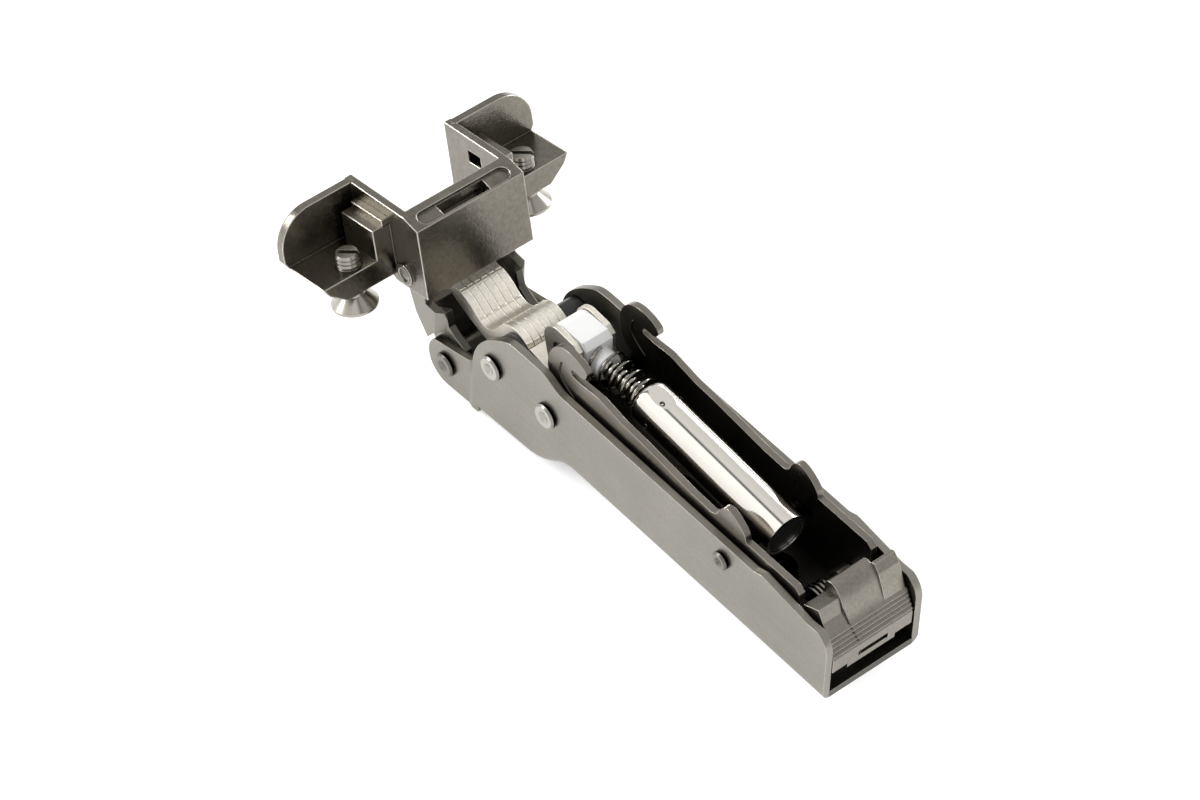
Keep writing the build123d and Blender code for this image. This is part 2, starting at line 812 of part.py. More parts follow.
def coil(start, end, pitch, radius, wire):
    """Coil spring along the rod's axis between two distances from the pusher."""
    base = Plane(origin=rod_axis.position + rod_axis.direction * start, z_dir=rod_axis.direction)
    path = base.location * Helix(pitch, end - start, radius)
    with BuildSketch(Plane(origin=path @ 0, z_dir=path % 0)) as section:
        Circle(wire)
    sweep(section.sketch, path=path, is_frenet=True)


with BuildPart() as inner_spring:
    coil(neck_reach + inner_wire, pusher_pivot[0] - tube_front[0] + 1.5, inner_pitch, inner_coil, inner_wire)
write(inner_spring, "inner_spring")

with BuildPart() as outer_spring:
    coil_start = pusher_pivot[0] - pusher_face + outer_wire + 0.1
    coil_end = pusher_pivot[0] - tube_front[0] - outer_wire - 0.1
    coil(coil_start, coil_end, outer_pitch, outer_coil, outer_wire)
write(outer_spring, "outer_spring")

# Damper tube and its plug, turned about their own axis
front_x, front_z = at(*tube_front)
tail_x, tail_z = at(*tube_rear)
tube_axis = Axis((front_x, 0, front_z), (tail_x - front_x, 0, tail_z - front_z))
tube_plane = Plane(origin=tube_axis.position, x_dir=tube_axis.direction, z_dir=(0, -1, 0))
tube_length = (Vector(tail_x, 0, tail_z) - Vector(front_x, 0, front_z)).length

with BuildPart() as damper_cylinder:
    with BuildSketch(tube_plane) as tube_section:
        with BuildLine():
            Line((0, tube_mouth), (0, tube_radius - tube_shoulder))
            ThreePointArc(
                (0, tube_radius - tube_shoulder),
                (tube_shoulder * (1 - cos(radians(45))), tube_radius - tube_shoulder * (1 - sin(radians(45)))),
                (tube_shoulder, tube_radius),
            )
            Polyline(
                (tube_shoulder, tube_radius),
                (tube_length, tube_radius),
                (tube_length, tube_radius - tube_wall),
                (tube_shoulder, tube_radius - tube_wall),
                (tube_wall, tube_mouth),
                (0, tube_mouth),
            )
        make_face()
    revolve(tube_section.sketch, axis=tube_axis)
    dent_curve = (dent_radius**2 + dent_depth**2) / (2 * dent_depth)
    dent_x, _, dent_z = tube_plane.from_local_coords((dent_place, tube_radius - dent_depth + dent_curve, 0))
    if dent_z < front_z:
        dent_x, _, dent_z = tube_plane.from_local_coords((dent_place, -tube_radius + dent_depth - dent_curve, 0))
    bar((dent_x, dent_z), dent_curve, -tube_radius, tube_radius, Mode.SUBTRACT)
    bar(at(*damper_pivot), rear_shank + face_gap, -tube_radius - 1, tube_radius + 1, Mode.SUBTRACT)
write(damper_cylinder, "damper_cylinder")

with BuildPart() as damper_plug:
    with BuildSketch(tube_plane) as plug_section:
        with BuildLine():
            Polyline(
                (tube_length - plug_length, 0),
                (tube_length - plug_length, tube_radius - tube_wall - run_gap),
                (tube_length - 0.3, tube_radius - tube_wall - run_gap),
                (tube_length - 0.3, 0),
                close=True,
            )
        make_face()
    revolve(plug_section.sketch, axis=tube_axis)
    bar(at(*damper_pivot), rear_shank + run_gap, -tube_radius - 1, tube_radius + 1, Mode.SUBTRACT)
write(damper_plug, "damper_plug")

# Rear catch with its pin and spring
clip_half = carrier_half + clip_overlap
grip_back, grip_up = clip_grip_top
grip_run = grip_back - clip_grip_low[0]
grip_drop = grip_up - clip_grip_low[1]
ridges = []
for step in range(ridge_count):
    share = step / ridge_count
    ridges.append(at(grip_back - grip_run * share, grip_up - grip_drop * share))
    share = (step + 0.6) / ridge_count
    ridges.append(at(grip_back - grip_run * share - ridge_height, grip_up - grip_drop * share))
ridges.append(at(*clip_grip_low))

with BuildPart() as clip_lever:
    with BuildSketch(Plane.XZ) as clip_body:
        with BuildLine():
            Polyline(at(7.2, 10.6), *ridges, at(0.1, 7.3), at(0.1, 4.9), at(1.6, 5.0), at(5.0, 6.4), at(7.2, 8.6), close=True)
        make_face()
    extrude(clip_body.sketch, amount=clip_half, both=True)
    # left block, crown and right block
    with BuildSketch(side(-3.5)) as clip_left:
        with BuildLine():
            Polyline(at(7.0, 10.0), at(7.0, 13.2), at(4.0, 14.6), at(3.0, 12.6), at(1.7, 10.9), at(2.4, 10.0), close=True)
        make_face()
    extrude(clip_left.sketch, amount=clip_half - 3.7)
    with BuildSketch(side(3.4)) as clip_crown:
        with BuildLine():
            Line(at(7.0, 10.0), at(7.0, 15.3))
            Spline(at(7.0, 15.3), at(6.0, 16.1), at(4.9, 15.9), at(3.9, 14.9), at(2.9, 13.0), at(1.8, 10.9))
            Polyline(at(1.8, 10.9), at(2.4, 10.0), at(7.0, 10.0))
        make_face()
    extrude(clip_crown.sketch, amount=6.9)
    with BuildSketch(side(clip_half - 0.2)) as clip_right:
        with BuildLine():
            Polyline(
                at(6.6, 10.0),
                at(6.6, 13.6),
                at(5.1, 16.2),
                at(4.5, 16.3),
                at(3.5, 15.0),
                at(2.6, 13.0),
                at(1.8, 10.9),
                at(2.4, 10.0),
                close=True,
            )
        make_face()
    extrude(clip_right.sketch, amount=clip_half - 3.6)
    # tongue, open in the middle above its round bar
    with BuildSketch(side(4.4)) as clip_tongue:
        with BuildLine():
            Polyline(at(0.2, 6.0), at(0.2, 4.1), at(1.8, 3.9), at(2.4, 6.4), close=True)
        make_face()
    extrude(clip_tongue.sketch, amount=8.8)
    bar(at(0.8, 4.1), 0.6, -4.4, 4.4)
    with BuildSketch(side(3.0)) as clip_slot:
        with BuildLine():
            Polyline(at(-1, 6.0), at(-1, 4.9), at(1.4, 4.9), at(1.4, 6.0), close=True)
        make_face()
    extrude(clip_slot.sketch, amount=5.6, mode=Mode.SUBTRACT)
    with BuildSketch(Plane.XZ) as clip_ears:
        with BuildLine():
            ear_x, ear_z = at(*clip_pivot)
            ThreePointArc((ear_x, ear_z - 2.3), (ear_x - 2.3, ear_z), (ear_x, ear_z + 2.3))
            Polyline((ear_x, ear_z + 2.3), at(7.4, 9.8), at(5.0, 9.0), at(5.0, 6.2), (ear_x, ear_z - 2.3))
        make_face()
    for hand in (-1, 1):
        extrude(clip_ears.sketch, amount=hand * (carrier_inner - face_gap))
    with BuildSketch(Plane.XZ) as ear_space:
        with Locations(at(9.8, 6.0)):
            Rectangle(8.0, 12)
    extrude(ear_space.sketch, amount=carrier_inner - face_gap - 2.4, both=True, mode=Mode.SUBTRACT)
    bar(at(*clip_pivot), clip_pin_radius + run_gap, -arm_half, arm_half, Mode.SUBTRACT)
write(clip_lever, "clip_lever")

with BuildPart() as clip_lever_pin:
    bar(at(*clip_pivot), clip_pin_radius, -carrier_half + 0.05, carrier_half - 0.05)
write(clip_lever_pin, "clip_lever_pin")

with BuildPart() as clip_spring:
    ear_x, ear_z = at(*clip_pivot)
    base = Plane(origin=(ear_x, -1.6, ear_z), x_dir=(1, 0, 0), z_dir=(0, 1, 0))
    spring_path = base.location * Helix(0.75, 3.0, clip_coil)
    with BuildSketch(Plane(origin=spring_path @ 0, z_dir=spring_path % 0)) as wire_section:
        Circle(clip_wire)
    sweep(wire_section.sketch, path=spring_path, is_frenet=True)
write(clip_spring, "clip_spring")
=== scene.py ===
# %% [markdown]
# # A soft close hinge, dressed for its portrait
# The hinge arrives as finished solids: a folded steel arm, an inner channel, a stack of
# lever plates, a damper and a die-cast door bracket. This notebook adds the finishes that
# plated steel, cast zinc and moulded plastic have, a few small parts that are too fine for
# the solids, the light of a product table and the camera.

# %% Load the hinge
import json
import math

import bmesh
import bpy
from mathutils import Matrix, Vector


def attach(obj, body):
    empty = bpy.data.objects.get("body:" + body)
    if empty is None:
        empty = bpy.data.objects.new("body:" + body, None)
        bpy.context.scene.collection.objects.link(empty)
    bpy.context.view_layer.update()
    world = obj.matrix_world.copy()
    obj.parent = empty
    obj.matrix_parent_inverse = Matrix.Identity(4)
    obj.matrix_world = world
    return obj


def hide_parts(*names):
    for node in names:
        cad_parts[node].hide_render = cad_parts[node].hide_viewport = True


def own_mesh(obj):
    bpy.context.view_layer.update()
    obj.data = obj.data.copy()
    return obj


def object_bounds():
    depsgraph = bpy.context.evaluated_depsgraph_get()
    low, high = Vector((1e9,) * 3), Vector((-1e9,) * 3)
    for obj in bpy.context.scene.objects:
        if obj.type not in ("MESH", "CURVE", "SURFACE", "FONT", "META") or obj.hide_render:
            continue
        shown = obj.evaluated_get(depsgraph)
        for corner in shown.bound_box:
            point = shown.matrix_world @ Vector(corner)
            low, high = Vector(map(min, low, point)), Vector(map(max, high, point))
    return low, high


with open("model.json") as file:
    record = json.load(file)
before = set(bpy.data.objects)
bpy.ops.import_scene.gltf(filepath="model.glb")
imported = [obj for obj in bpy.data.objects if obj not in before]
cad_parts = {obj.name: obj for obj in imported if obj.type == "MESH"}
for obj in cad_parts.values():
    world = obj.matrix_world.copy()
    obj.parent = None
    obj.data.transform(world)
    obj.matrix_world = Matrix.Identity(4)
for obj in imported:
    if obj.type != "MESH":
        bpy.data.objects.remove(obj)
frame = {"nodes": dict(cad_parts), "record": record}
box_at_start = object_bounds()
low_corner = Vector(box_at_start[0])
high_corner = Vector(box_at_start[1])
mm = 0.001
rear_x = high_corner.x
floor_z = 5.8 * mm
print("hinge size in mm", [round(v / mm, 1) for v in high_corner - low_corner])

# %% [markdown]
# ## The camera
# A small object is photographed from far away with a long lens, so its edges stay nearly
# parallel. The view looks down over the hinge's rear end, turned a little less than half way
# between its side and its end, and the camera is rolled by a couple of degrees. The turn,
# the height angle and the roll give three axes, and those make the camera's matrix.

# %% Camera
camera_place = Vector((rear_x + 334.48 * mm, -353.14 * mm, floor_z + 583.75 * mm))
azimuth = math.radians(48.11)
elevation = math.radians(47.55)
roll = math.radians(2.49)
lens_mm = 161.9
sensor_mm = 36

forward = Vector((
    -math.sin(azimuth) * math.cos(elevation),
    math.cos(azimuth) * math.cos(elevation),
    -math.sin(elevation),
))
level_right = Vector((math.cos(azimuth), math.sin(azimuth), 0))
level_up = level_right.cross(forward)
right = level_right * math.cos(roll) + level_up * math.sin(roll)
up = right.cross(forward)
camera_data = bpy.data.cameras.new("camera")
camera_data.lens = lens_mm
camera_data.sensor_width = sensor_mm
camera_data.clip_start = 0.01
camera = bpy.data.objects.new("camera", camera_data)
bpy.context.scene.collection.objects.link(camera)
camera_turn = Matrix((right, up, -forward)).transposed().to_4x4()
camera.matrix_world = Matrix.Translation(camera_place) @ camera_turn
bpy.context.scene.camera = camera

# %% [markdown]
# ## The table and the light
# The picture is a pack shot on white. A wide white sheet lies under the hinge. Soft light
# from a pale sky does most of the work, and two large panels add the long highlights that
# make plated steel read as metal.

# %% Floor
def flat_sheet(name, half, height):
    """Square sheet of the given half width at a height."""
    mesh = bpy.data.meshes.new(name)
    shape = bmesh.new()
    bmesh.ops.create_grid(shape, x_segments=1, y_segments=1, size=half)
    bmesh.ops.translate(shape, verts=shape.verts, vec=(0, 0, height))
    shape.to_mesh(mesh)
    shape.free()
    sheet = bpy.data.objects.new(name, mesh)
    bpy.context.scene.collection.objects.link(sheet)
    return sheet


table_half = 2.0
table_height = -0.2 * mm
table = flat_sheet("table", table_half, table_height)
table_material = bpy.data.materials.new("table_white")
table_material.use_nodes = True
table_shader = table_material.node_tree.nodes["Principled BSDF"]
table_shader.inputs["Base Color"].default_value = (0.9, 0.9, 0.9, 1)
table_shader.inputs["Roughness"].default_value = 0.9
table_shader.inputs["Emission Color"].default_value = (1.0, 1.0, 1.0, 1)
table_shader.inputs["Emission Strength"].default_value = 0.4
table.data.materials.append(table_material)

# %% Light
world = bpy.data.worlds.new("pale_sky")
bpy.context.scene.world = world
world.use_nodes = True
sky_tree = world.node_tree
sky = sky_tree.nodes["Background"]
sky.inputs["Strength"].default_value = 1.0
direction = sky_tree.nodes.new("ShaderNodeTexCoord")
split = sky_tree.nodes.new("ShaderNodeSeparateXYZ")
across = sky_tree.nodes.new("ShaderNodeMapRange")
across.inputs["From Min"].default_value = -1.0
across.inputs["From Max"].default_value = 1.0
bands = sky_tree.nodes.new("ShaderNodeValToRGB")
sky_tree.links.new(direction.outputs["Generated"], split.inputs["Vector"])
sky_tree.links.new(split.outputs["Y"], across.inputs["Value"])
sky_tree.links.new(across.outputs["Result"], bands.inputs["Fac"])
sky_tree.links.new(bands.outputs["Color"], sky.inputs["Color"])
# brightness of the sky from the near side (-1) to the far side (1)
sky_bands = ((-1.0, 1.0), (-0.2, 1.45), (-0.14, 0.12), (-0.05, 0.1), (0.06, 0.85), (1.0, 0.7))
while len(bands.color_ramp.elements) < len(sky_bands):
    bands.color_ramp.elements.new(0.5)
for stop, (place, light) in zip(bands.color_ramp.elements, sky_bands):
    stop.position = (place + 1) / 2
    stop.color = (light, light, light, 1)


def soft_panel(name, place, target, size, watts):
    """Rectangular light that faces a target."""
    data = bpy.data.lights.new(name, "AREA")
    data.shape = "RECTANGLE"
    data.size = size[0]
    data.size_y = size[1]
    data.energy = watts
    lamp = bpy.data.objects.new(name, data)
    bpy.context.scene.collection.objects.link(lamp)
    lamp.location = place
    lamp.rotation_euler = (Vector(target) - Vector(place)).to_track_quat("-Z", "Y").to_euler()


panel_target = (0, 0, 0.01)
panel_watts = 3
soft_panel("back_panel", (-0.1, 0.7, 0.3), panel_target, (0.5, 0.2), panel_watts)
soft_panel("left_panel", (-0.5, -0.35, 0.35), panel_target, (0.4, 0.25), panel_watts)
bpy.context.scene.view_settings.view_transform = "Standard"

# %% [markdown]
# ## Shared effects
# Two effects turn up in nearly every metal here. The first is a worn edge with a painted
# highlight: plating is thin and bright on a corner, every real corner is a little round and
# catches the light, and a bright edge colour is painted on for both. A Bevel node gives the
# edge: its normal rounds the shading, and where it leaves the true normal there is an edge. An
# ambient occlusion node tells an outer corner, which gets the painted highlight, from a crease,
# which gets painted shade. The second effect is the uneven grain of a satin finish, a few
# noises of different size.

# %% Shader group helpers
def new_group(name, inputs, outputs):
    """Empty shader group with its sockets, and its two end nodes."""
    group = bpy.data.node_groups.new(name, "ShaderNodeTree")
    for label, kind, value in inputs:
        socket = group.interface.new_socket(label, in_out="INPUT", socket_type=kind)
        socket.default_value = value
    for label, kind in outputs:
        group.interface.new_socket(label, in_out="OUTPUT", socket_type=kind)
    start = group.nodes.new("NodeGroupInput")
    end = group.nodes.new("NodeGroupOutput")
    return group, start, end


def math_node(tree, operation, first, second=None, third=None, clamp=False):
    """Math node fed by sockets or numbers."""
    node = tree.nodes.new("ShaderNodeMath")
    node.operation = operation
    node.use_clamp = clamp
    for index, value in enumerate((first, second, third)):
        if value is None:
            continue
        if isinstance(value, (int, float)):
            node.inputs[index].default_value = value
        else:
            tree.links.new(value, node.inputs[index])
    return node.outputs[0]


# %% Edge wear and painted edge highlight group
edge_group, edge_in, edge_out = new_group(
    "edge_wear_and_sheen",
    [("Radius", "NodeSocketFloat", 0.0002), ("Gain", "NodeSocketFloat", 6.0)],
    [("Edge", "NodeSocketFloat"), ("Open", "NodeSocketFloat"), ("Normal", "NodeSocketVector")],
)
bevel = edge_group.nodes.new("ShaderNodeBevel")
bevel.samples = 6
geometry = edge_group.nodes.new("ShaderNodeNewGeometry")
dot = edge_group.nodes.new("ShaderNodeVectorMath")
dot.operation = "DOT_PRODUCT"
edge_group.links.new(edge_in.outputs["Radius"], bevel.inputs["Radius"])
edge_group.links.new(bevel.outputs["Normal"], dot.inputs[0])
edge_group.links.new(geometry.outputs["Normal"], dot.inputs[1])
away = math_node(edge_group, "SUBTRACT", 1.0, dot.outputs["Value"])
strong = math_node(edge_group, "MULTIPLY", away, edge_in.outputs["Gain"], clamp=True)
crease_reach = 0.7 * mm
# the mask runs from none at 0.7 open to full at 0.95 open
crease_gain = 4.0
crease_shift = -2.8
crease = edge_group.nodes.new("ShaderNodeAmbientOcclusion")
crease.samples = 6
crease.only_local = True
crease.inputs["Distance"].default_value = crease_reach
open_mask = math_node(
    edge_group, "MULTIPLY_ADD", crease.outputs["AO"], crease_gain, crease_shift, clamp=True
)
# painted highlight on outer corners, kept out of creases
edge_sheen_mask = math_node(edge_group, "MULTIPLY", strong, open_mask)
edge_group.links.new(edge_sheen_mask, edge_out.inputs["Edge"])
edge_group.links.new(crease.outputs["AO"], edge_out.inputs["Open"])
edge_group.links.new(bevel.outputs["Normal"], edge_out.inputs["Normal"])

# %% Grain group
grain_group, grain_in, grain_out = new_group(
    "metal_grain",
    [("Cloud", "NodeSocketFloat", 90.0), ("Speck", "NodeSocketFloat", 2200.0)],
    [("Cloud", "NodeSocketFloat"), ("Speck", "NodeSocketFloat"), ("Line", "NodeSocketFloat")],
)
coordinate = grain_group.nodes.new("ShaderNodeTexCoord")


def group_noise(scale, detail, vector, roughness=0.55):
    """Noise inside the grain group."""
    noise = grain_group.nodes.new("ShaderNodeTexNoise")
    noise.inputs["Detail"].default_value = detail
    noise.inputs["Roughness"].default_value = roughness
    if isinstance(scale, (int, float)):
        noise.inputs["Scale"].default_value = scale
    else:
        grain_group.links.new(scale, noise.inputs["Scale"])
    grain_group.links.new(vector, noise.inputs["Vector"])
    return noise.outputs["Fac"]


cloud = group_noise(grain_in.outputs["Cloud"], 4, coordinate.outputs["Object"])
speck = group_noise(grain_in.outputs["Speck"], 2, coordinate.outputs["Object"], 0.7)
# lines run along X: few changes that way, many across
line_scale = (60, 3500, 3500)
stretch = grain_group.nodes.new("ShaderNodeMapping")
stretch.inputs["Scale"].default_value = line_scale
grain_group.links.new(coordinate.outputs["Object"], stretch.inputs["Vector"])
line = group_noise(1.0, 3, stretch.outputs["Vector"], 0.6)
grain_group.links.new(cloud, grain_out.inputs["Cloud"])
grain_group.links.new(speck, grain_out.inputs["Speck"])
grain_group.links.new(line, grain_out.inputs["Line"])

# %% [markdown]
# ## Metal finishes
# One function makes every metal from a few plain choices: its colour, how rough it is, how
# cloudy, how grainy, how strongly lines run along it and how bright its edges are. The shader
# stays in each material, so that its fixed values sit on its own sockets.

# %% Metal function
# share of the colour that is left on a folded sheet's inner faces, as painted shade
inner_shade_share = 0.38
# painted shade darkens a place in proportion to how closed it is
crease_shade_gain = 1.25
crease_shade_shift = -0.15
bump_depth = 0.05 * mm
line_bump_share = 0.6


def metal(
    name,
    colour,
    edge_wear_sheen_colour,
    rough,
    cloudy=0.25,
    speckle=0.1,
    lines=0.05,
    bump=0.1,
    edge_radius=0.2,
    edge_gain=6.0,
    cloud_size=90.0,
    speck_size=2200.0,
    rough_swing=0.12,
    side_shade_share=1.0,
    inner=0.0,
):
    """Plated or cast metal with grain, lines and worn edges with a painted highlight, painted shade
    in creases and, if asked, painted shade on its turned sides or inside."""
    material = bpy.data.materials.new(name)
    material.use_nodes = True
    tree = material.node_tree
    shader = tree.nodes["Principled BSDF"]
    shader.inputs["Metallic"].default_value = 1.0
    edge = tree.nodes.new("ShaderNodeGroup")
    edge.node_tree = edge_group
    edge.inputs["Radius"].default_value = edge_radius * mm
    edge.inputs["Gain"].default_value = edge_gain
    grain = tree.nodes.new("ShaderNodeGroup")
    grain.node_tree = grain_group
    grain.inputs["Cloud"].default_value = cloud_size
    grain.inputs["Speck"].default_value = speck_size

    # shade is one plus small swings of cloud, speck and line
    cloud_part = math_node(tree, "MULTIPLY_ADD", grain.outputs["Cloud"], 2 * cloudy, 1 - cloudy)
    speck_part = math_node(tree, "MULTIPLY_ADD", grain.outputs["Speck"], 2 * speckle, 1 - speckle)
    line_part = math_node(tree, "MULTIPLY_ADD", grain.outputs["Line"], 2 * lines, 1 - lines)
    shade = math_node(tree, "MULTIPLY", cloud_part, speck_part)
    shade = math_node(tree, "MULTIPLY", shade, line_part)
    if side_shade_share < 1.0:
        # painted shade on a rivet head's turned side: its head faces along Y, and its side doesn't
        facing = tree.nodes.new("ShaderNodeTexCoord")
        axes = tree.nodes.new("ShaderNodeSeparateXYZ")
        tree.links.new(facing.outputs["Normal"], axes.inputs["Vector"])
        along_pin = math_node(tree, "ABSOLUTE", axes.outputs["Y"])
        side_shade_mask = math_node(
            tree, "MULTIPLY_ADD", along_pin, 2 * (1 - side_shade_share), 2 * side_shade_share - 1, clamp=True
        )
        shade = math_node(tree, "MULTIPLY", shade, side_shade_mask)
    if inner > 0.0:
        # painted shade on the inner faces of a folded sheet, those within the given half width
        where = tree.nodes.new("ShaderNodeTexCoord")
        widths = tree.nodes.new("ShaderNodeSeparateXYZ")
        tree.links.new(where.outputs["Object"], widths.inputs["Vector"])
        width = math_node(tree, "ABSOLUTE", widths.outputs["Y"])
        outside = math_node(tree, "GREATER_THAN", width, inner * mm)
        inner_shade_mask = math_node(tree, "MULTIPLY_ADD", outside, 1 - inner_shade_share, inner_shade_share)
        shade = math_node(tree, "MULTIPLY", shade, inner_shade_mask)

    # painted shade in creases and other closed places, from the ambient occlusion
    crease_shade = math_node(
        tree, "MULTIPLY_ADD", edge.outputs["Open"], crease_shade_gain, crease_shade_shift, clamp=True
    )
    shade = math_node(tree, "MULTIPLY", shade, crease_shade)
    tint = tree.nodes.new("ShaderNodeVectorMath")
    tint.operation = "SCALE"
    tint.inputs[0].default_value = colour
    tree.links.new(shade, tint.inputs["Scale"])
    # the edge colour is mixed in along outer corners: worn plating and a painted highlight
    mix = tree.nodes.new("ShaderNodeMix")
    mix.data_type = "RGBA"
    mix.inputs["B"].default_value = (*edge_wear_sheen_colour, 1)
    tree.links.new(edge.outputs["Edge"], mix.inputs["Factor"])
    tree.links.new(tint.outputs["Vector"], mix.inputs["A"])
    tree.links.new(mix.outputs["Result"], shader.inputs["Base Color"])

    rough_value = math_node(
        tree, "MULTIPLY_ADD", grain.outputs["Cloud"], 2 * rough_swing, rough - rough_swing
    )
    tree.links.new(rough_value, shader.inputs["Roughness"])

    line_height = math_node(tree, "MULTIPLY", grain.outputs["Line"], line_bump_share)
    height = math_node(tree, "ADD", grain.outputs["Speck"], line_height)
    bump_node = tree.nodes.new("ShaderNodeBump")
    bump_node.inputs["Strength"].default_value = bump
    bump_node.inputs["Distance"].default_value = bump_depth
    tree.links.new(height, bump_node.inputs["Height"])
    tree.links.new(edge.outputs["Normal"], bump_node.inputs["Normal"])
    tree.links.new(bump_node.outputs["Normal"], shader.inputs["Normal"])
    return material


# %% The metals of the hinge
arm_nickel = metal(
    "arm_nickel", (0.255, 0.242, 0.214), (0.62, 0.58, 0.5), 0.36, cloudy=0.25, speckle=0.15,
    lines=0.1, bump=0.15, edge_radius=0.14, edge_gain=3.5, inner=7.85,
)
outer_lever_nickel = metal(
    "outer_lever_nickel", (0.25, 0.237, 0.21), (0.42, 0.39, 0.34), 0.36, cloudy=0.22,
    speckle=0.12, bump=0.12, edge_radius=0.12, edge_gain=3.0, inner=7.2,
)
carrier_nickel = metal(
    "carrier_nickel", (0.22, 0.203, 0.175), (0.62, 0.58, 0.5), 0.3, cloudy=0.3, speckle=0.15,
    edge_radius=0.12, edge_gain=3.0, inner=6.2,
)
cast_nickel = metal(
    "cast_nickel", (0.18, 0.166, 0.14), (0.7, 0.66, 0.58), 0.25, cloudy=0.3, speckle=0.35,
    lines=0.0, bump=0.5, edge_radius=0.35, edge_gain=4.0, speck_size=1300.0,
)
# a lighter copy of the cast metal for the rear catch: painted light for its lit top faces
clip_cast_lit = metal(
    "clip_cast_lit", (0.235, 0.219, 0.188), (0.66, 0.62, 0.54), 0.3, cloudy=0.3, speckle=0.3, bump=0.3,
    edge_radius=0.2, edge_gain=3.0,
)
lever_nickel = metal(
    "lever_nickel", (0.78, 0.74, 0.65), (0.95, 0.92, 0.84), 0.45, cloudy=0.2, speckle=0.25,
    bump=0.25, edge_radius=0.12,
)
rivet_bright = metal(
    "rivet_bright", (0.42, 0.405, 0.375), (0.6, 0.585, 0.55), 0.3, cloudy=0.12, speckle=0.05, bump=0.03,
    edge_radius=0.08, edge_gain=2.0, side_shade_share=0.3,
)
rivet_grey = metal(
    "rivet_grey", (0.22, 0.207, 0.183), (0.45, 0.42, 0.37), 0.32, cloudy=0.2, edge_radius=0.08,
    edge_gain=2.0, side_shade_share=0.35,
)
screw_nickel = metal(
    "screw_nickel", (0.36, 0.34, 0.3), (0.6, 0.57, 0.51), 0.26, cloudy=0.2, speckle=0.05, bump=0.03,
    edge_radius=0.06, edge_gain=2.0,
)
tube_nickel = metal(
    "tube_nickel", (0.8, 0.765, 0.70), (0.85, 0.82, 0.76), 0.13, cloudy=0.05, speckle=0.02,
    lines=0.05, bump=0.015, rough_swing=0.04, edge_radius=0.1,
)
spring_wire = metal(
    "spring_wire", (0.26, 0.245, 0.22), (0.4, 0.39, 0.36), 0.2, cloudy=0.1, bump=0.03,
    edge_radius=0.02,
)
# near black: painted shade for the pressed grooves of the hooks and the catch's line
groove_shade = metal("groove_shade", (0.05, 0.046, 0.04), (0.1, 0.09, 0.08), 0.4)
# a lighter copy of the spring wire for the inner coil: painted light for its highlights
spring_wire_lit = metal(
    "spring_wire_lit", (0.55, 0.52, 0.46), (0.6, 0.57, 0.5), 0.2, cloudy=0.1, bump=0.03,
    edge_radius=0.02,
)

# %% [markdown]
# ## Plastics
# The pusher is a pale moulded plastic with a soft sheen, and the sleeves and the plug are
# black. A faint noise in roughness and height keeps them from looking like paint.

# %% Plastic function
plastic_edge_radius = 0.25 * mm
plastic_speck_size = 900.0
plastic_swing = 0.05
plastic_bump_depth = 0.03 * mm


def plastic(name, colour, rough, bump):
    """Moulded plastic with a faint orange-peel surface."""
    material = bpy.data.materials.new(name)
    material.use_nodes = True
    tree = material.node_tree
    shader = tree.nodes["Principled BSDF"]
    edge = tree.nodes.new("ShaderNodeGroup")
    edge.node_tree = edge_group
    edge.inputs["Radius"].default_value = plastic_edge_radius
    grain = tree.nodes.new("ShaderNodeGroup")
    grain.node_tree = grain_group
    grain.inputs["Speck"].default_value = plastic_speck_size
    tint = tree.nodes.new("ShaderNodeVectorMath")
    tint.operation = "SCALE"
    tint.inputs[0].default_value = colour
    shade = math_node(
        tree, "MULTIPLY_ADD", grain.outputs["Cloud"], 2 * plastic_swing, 1 - plastic_swing
    )
    tree.links.new(shade, tint.inputs["Scale"])
    tree.links.new(tint.outputs["Vector"], shader.inputs["Base Color"])
    rough_value = math_node(
        tree, "MULTIPLY_ADD", grain.outputs["Speck"], 2 * plastic_swing, rough - plastic_swing
    )
    tree.links.new(rough_value, shader.inputs["Roughness"])
    bump_node = tree.nodes.new("ShaderNodeBump")
    bump_node.inputs["Strength"].default_value = bump
    bump_node.inputs["Distance"].default_value = plastic_bump_depth
    tree.links.new(grain.outputs["Speck"], bump_node.inputs["Height"])
    tree.links.new(edge.outputs["Normal"], bump_node.inputs["Normal"])
    tree.links.new(bump_node.outputs["Normal"], shader.inputs["Normal"])
    return material


white_plastic = plastic("white_plastic", (0.7, 0.7, 0.69), 0.45, 0.1)
black_plastic = plastic("black_plastic", (0.012, 0.012, 0.012), 0.35, 0.15)

# %% [markdown]
# ## Places on the hinge
# The drawings of the hinge give a place in side view as its distance from the rear end and
# its height over the underside of the arm's floor. The door bracket has a frame of its own,
# tilted by 12.5 degrees about the nose pivot. Two small functions turn both into places here.

# %% Place helpers
bracket_tilt = math.radians(12.5)
nose_pivot = (83.8, -1.6)


def place(back, up, width=0.0):
    """Point from side-view sizes in mm and its width across the hinge."""
    return Vector((rear_x - back * mm, width * mm, floor_z + up * mm))


def bracket_place(along, up, width=0.0):
    """Point from sizes in the bracket's tilted frame."""
    nose = place(*nose_pivot, width)
    along_x = along * math.cos(bracket_tilt) - up * math.sin(bracket_tilt)
    up_z = along * math.sin(bracket_tilt) + up * math.cos(bracket_tilt)
    return nose + Vector((along_x, 0, up_z)) * mm


def new_piece(name, shape, body, finish, smooth=True):
    """Object from a finished bmesh that rides on a body."""
    bmesh.ops.recalc_face_normals(shape, faces=shape.faces)
    mesh = bpy.data.meshes.new(name)
    shape.to_mesh(mesh)
    shape.free()
    for face in mesh.polygons:
        face.use_smooth = smooth
    piece = bpy.data.objects.new(name, mesh)
    bpy.context.scene.collection.objects.link(piece)
    mesh.materials.append(finish)
    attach(piece, body)
    print(name, "has", len(mesh.polygons), "faces")
    return piece


